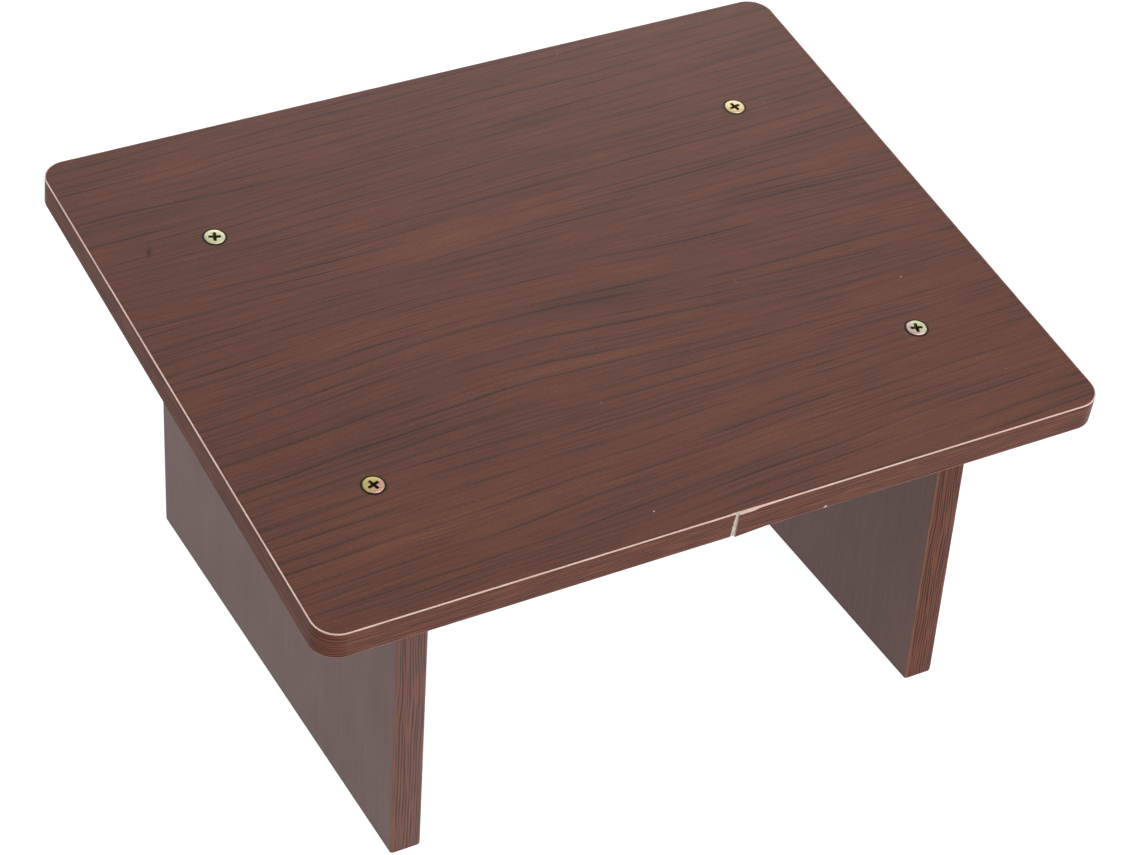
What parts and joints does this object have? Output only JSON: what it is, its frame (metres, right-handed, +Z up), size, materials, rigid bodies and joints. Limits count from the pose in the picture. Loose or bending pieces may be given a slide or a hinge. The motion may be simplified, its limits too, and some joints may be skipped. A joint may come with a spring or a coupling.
{
  "type": "monitor riser stand",
  "caption": "Low desktop riser: a rounded rectangular wood-look shelf sloping to the front, screwed down onto two upright side panels.",
  "frame": {"origin": "on the surface the stand rests on, under the middle of its bounding box", "axes": "+X along the shelf's long side, to the right seen from the front; -Y to the front, where the shelf is lower; +Z up"},
  "size_m": [0.4, 0.3223, 0.2158],
  "materials": {
    "particleboard": "matte",
    "mahogany_laminate": "satin",
    "leg_laminate": "satin",
    "shelf_band": "satin",
    "leg_band": "satin",
    "yellow_zinc": "satin"
  },
  "bodies": {
    "root": {"shelf_core": "particleboard", "shelf_top_laminate": "mahogany_laminate", "shelf_bottom_laminate": "mahogany_laminate", "shelf_edge_band": "shelf_band", "left_leg_core": "particleboard", "left_leg_outer_laminate": "leg_laminate", "left_leg_inner_laminate": "leg_laminate", "left_leg_front_band": "leg_band", "left_leg_back_band": "leg_band", "left_leg_bottom_band": "leg_band", "right_leg_core": "particleboard", "right_leg_outer_laminate": "leg_laminate", "right_leg_inner_laminate": "leg_laminate", "right_leg_front_band": "leg_band", "right_leg_back_band": "leg_band", "right_leg_bottom_band": "leg_band", "front_left_screw": "yellow_zinc", "front_right_screw": "yellow_zinc", "back_left_screw": "yellow_zinc", "back_right_screw": "yellow_zinc"}
  },
  "joints": []
}
